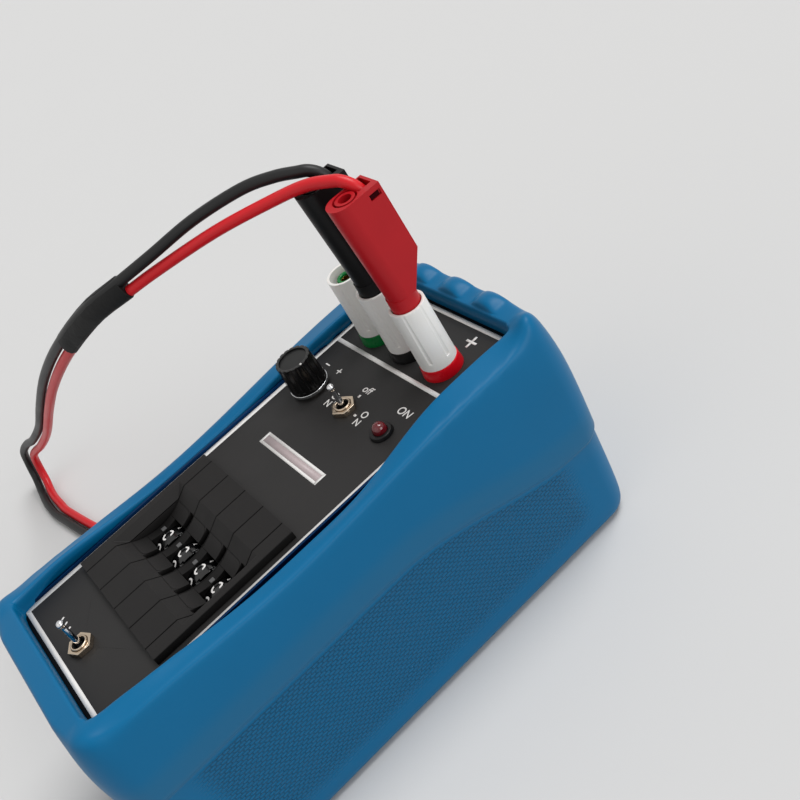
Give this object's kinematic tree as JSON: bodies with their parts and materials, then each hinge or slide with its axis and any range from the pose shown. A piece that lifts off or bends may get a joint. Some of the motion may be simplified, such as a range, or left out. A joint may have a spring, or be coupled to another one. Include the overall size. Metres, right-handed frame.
{
  "type": "multi-function calibrator",
  "caption": "Hand-held calibrator in an elastic boot, with thumbwheel digits, toggle switches, a knob and screw terminals that hold stackable test leads.",
  "frame": {"origin": "middle of the boot's back, on the surface it lies on", "axes": "+X across the panel to the right, +Y along the panel towards the terminals, +Z out of the panel"},
  "size_m": [0.2923, 0.194, 0.1612],
  "materials": {
    "boot_rubber": "satin",
    "case_navy": "satin",
    "black_metal": "satin",
    "steel": "satin",
    "panel_grey": "satin",
    "black_plastic": "satin",
    "grey_plastic": "matte",
    "nickel": "polished",
    "cell_wrap": "gloss",
    "board_green": "satin",
    "block_black": "matte",
    "wheel_black": "gloss",
    "brass": "polished",
    "green_plastic": "gloss",
    "red_plastic": "satin",
    "white_plastic": "satin",
    "chrome": "polished",
    "lamp_red": "gloss",
    "lead_red": "satin",
    "lead_black": "satin"
  },
  "bodies": {
    "base": {"boot": "boot_rubber", "case_channel": "case_navy", "end_plates": "black_metal", "end_screws": "steel", "front_panel": "panel_grey", "battery_holder": "black_plastic", "battery_contacts": "nickel", "battery_cells": "cell_wrap", "circuit_board": "board_green", "board_components": "black_plastic", "wheel_cap_left": "block_black", "wheel_cap_right": "block_black", "wheel_housing_1": "block_black", "wheel_housing_2": "block_black", "wheel_housing_3": "block_black", "wheel_housing_4": "block_black", "wheel_tie_rods": "steel", "terminal_posts": "brass", "terminal_base_green": "green_plastic", "terminal_base_black": "black_plastic", "terminal_base_red": "red_plastic", "terminal_nuts": "nickel", "toggle_bodies": "black_plastic", "toggle_nuts": "nickel", "potentiometer": "nickel", "led": "lamp_red", "led_clip": "black_plastic", "plug_red": "red_plastic", "plug_black": "black_plastic", "plug_pins": "nickel", "plug_red_far": "red_plastic", "plug_black_far": "black_plastic", "lead_red": "lead_red", "lead_black": "lead_black", "lead_sleeve": "lead_black", "lead_coil": "lead_red"},
    "wheel_1": {"digit_wheel_1": "wheel_black"},
    "up_1": {"button_up_1": "block_black"},
    "down_1": {"button_down_1": "block_black"},
    "wheel_2": {"digit_wheel_2": "wheel_black"},
    "up_2": {"button_up_2": "block_black"},
    "down_2": {"button_down_2": "block_black"},
    "wheel_3": {"digit_wheel_3": "wheel_black"},
    "up_3": {"button_up_3": "block_black"},
    "down_3": {"button_down_3": "block_black"},
    "wheel_4": {"digit_wheel_4": "wheel_black"},
    "up_4": {"button_up_4": "block_black"},
    "down_4": {"button_down_4": "block_black"},
    "lever_1": {"toggle_lever_1": "chrome"},
    "lever_2": {"toggle_lever_2": "chrome"},
    "knob": {"knob": "black_plastic", "knob_cap": "grey_plastic", "knob_ring": "nickel", "pot_shaft": "brass"},
    "insert_green": {"terminal_insert_green": "brass"},
    "cap_green": {"terminal_cap_green": "white_plastic"},
    "insert_black": {"terminal_insert_black": "brass"},
    "cap_black": {"terminal_cap_black": "white_plastic"},
    "insert_red": {"terminal_insert_red": "brass"},
    "cap_red": {"terminal_cap_red": "white_plastic"}
  },
  "joints": [
    {"name": "wheel_1_spin", "type": "hinge", "parent": "base", "child": "wheel_1", "pos_m": [-0.01945, -0.0342, 0.0702], "axis": [1, 0, 0], "continuous": true},
    {"name": "button_up_1_press", "type": "slide", "parent": "base", "child": "up_1", "axis": [0, 0, -1], "range_m": [0, 0.0015], "stiffness_N_per_m": 500, "springref_m": -0.0005},
    {"name": "button_down_1_press", "type": "slide", "parent": "base", "child": "down_1", "axis": [0, 0, -1], "range_m": [0, 0.0015], "stiffness_N_per_m": 500, "springref_m": -0.0005},
    {"name": "wheel_2_spin", "type": "hinge", "parent": "base", "child": "wheel_2", "pos_m": [-0.00675, -0.0342, 0.0702], "axis": [1, 0, 0], "continuous": true},
    {"name": "button_up_2_press", "type": "slide", "parent": "base", "child": "up_2", "axis": [0, 0, -1], "range_m": [0, 0.0015], "stiffness_N_per_m": 500, "springref_m": -0.0005},
    {"name": "button_down_2_press", "type": "slide", "parent": "base", "child": "down_2", "axis": [0, 0, -1], "range_m": [0, 0.0015], "stiffness_N_per_m": 500, "springref_m": -0.0005},
    {"name": "wheel_3_spin", "type": "hinge", "parent": "base", "child": "wheel_3", "pos_m": [0.00595, -0.0342, 0.0702], "axis": [1, 0, 0], "continuous": true},
    {"name": "button_up_3_press", "type": "slide", "parent": "base", "child": "up_3", "axis": [0, 0, -1], "range_m": [0, 0.0015], "stiffness_N_per_m": 500, "springref_m": -0.0005},
    {"name": "button_down_3_press", "type": "slide", "parent": "base", "child": "down_3", "axis": [0, 0, -1], "range_m": [0, 0.0015], "stiffness_N_per_m": 500, "springref_m": -0.0005},
    {"name": "wheel_4_spin", "type": "hinge", "parent": "base", "child": "wheel_4", "pos_m": [0.01865, -0.0342, 0.0702], "axis": [1, 0, 0], "continuous": true},
    {"name": "button_up_4_press", "type": "slide", "parent": "base", "child": "up_4", "axis": [0, 0, -1], "range_m": [0, 0.0015], "stiffness_N_per_m": 500, "springref_m": -0.0005},
    {"name": "button_down_4_press", "type": "slide", "parent": "base", "child": "down_4", "axis": [0, 0, -1], "range_m": [0, 0.0015], "stiffness_N_per_m": 500, "springref_m": -0.0005},
    {"name": "lever_1_tilt", "type": "hinge", "parent": "base", "child": "lever_1", "pos_m": [0, 0.0354, 0.082], "axis": [0, 1, 0], "range_deg": [-12, 12]},
    {"name": "lever_2_tilt", "type": "hinge", "parent": "base", "child": "lever_2", "pos_m": [0, -0.076, 0.082], "axis": [0, 1, 0], "range_deg": [0, 24]},
    {"name": "knob_turn", "type": "hinge", "parent": "base", "child": "knob", "pos_m": [-0.0227, 0.0354, 0.09], "axis": [0, 0, 1], "range_deg": [-150, 150]},
    {"name": "cap_green_lift", "type": "slide", "parent": "base", "child": "insert_green", "axis": [0, 0, 1], "range_m": [0, 0.0015]},
    {"name": "cap_green_turn", "type": "hinge", "parent": "insert_green", "child": "cap_green", "pos_m": [-0.01905, 0.0658, 0.095], "axis": [0, 0, 1], "range_deg": [0, 720]},
    {"name": "cap_black_lift", "type": "slide", "parent": "base", "child": "insert_black", "axis": [0, 0, 1], "range_m": [0, 0.0015]},
    {"name": "cap_black_turn", "type": "hinge", "parent": "insert_black", "child": "cap_black", "pos_m": [0, 0.0658, 0.095], "axis": [0, 0, 1], "range_deg": [0, 720]},
    {"name": "cap_red_lift", "type": "slide", "parent": "base", "child": "insert_red", "axis": [0, 0, 1], "range_m": [0, 0.0015]},
    {"name": "cap_red_turn", "type": "hinge", "parent": "insert_red", "child": "cap_red", "pos_m": [0.01905, 0.0658, 0.095], "axis": [0, 0, 1], "range_deg": [0, 720]}
  ],
  "couplings": [
    {"joint": "cap_green_lift", "follows": "cap_green_turn", "m_per_rad": 0.00011937},
    {"joint": "cap_black_lift", "follows": "cap_black_turn", "m_per_rad": 0.00011937},
    {"joint": "cap_red_lift", "follows": "cap_red_turn", "m_per_rad": 0.00011937}
  ]
}
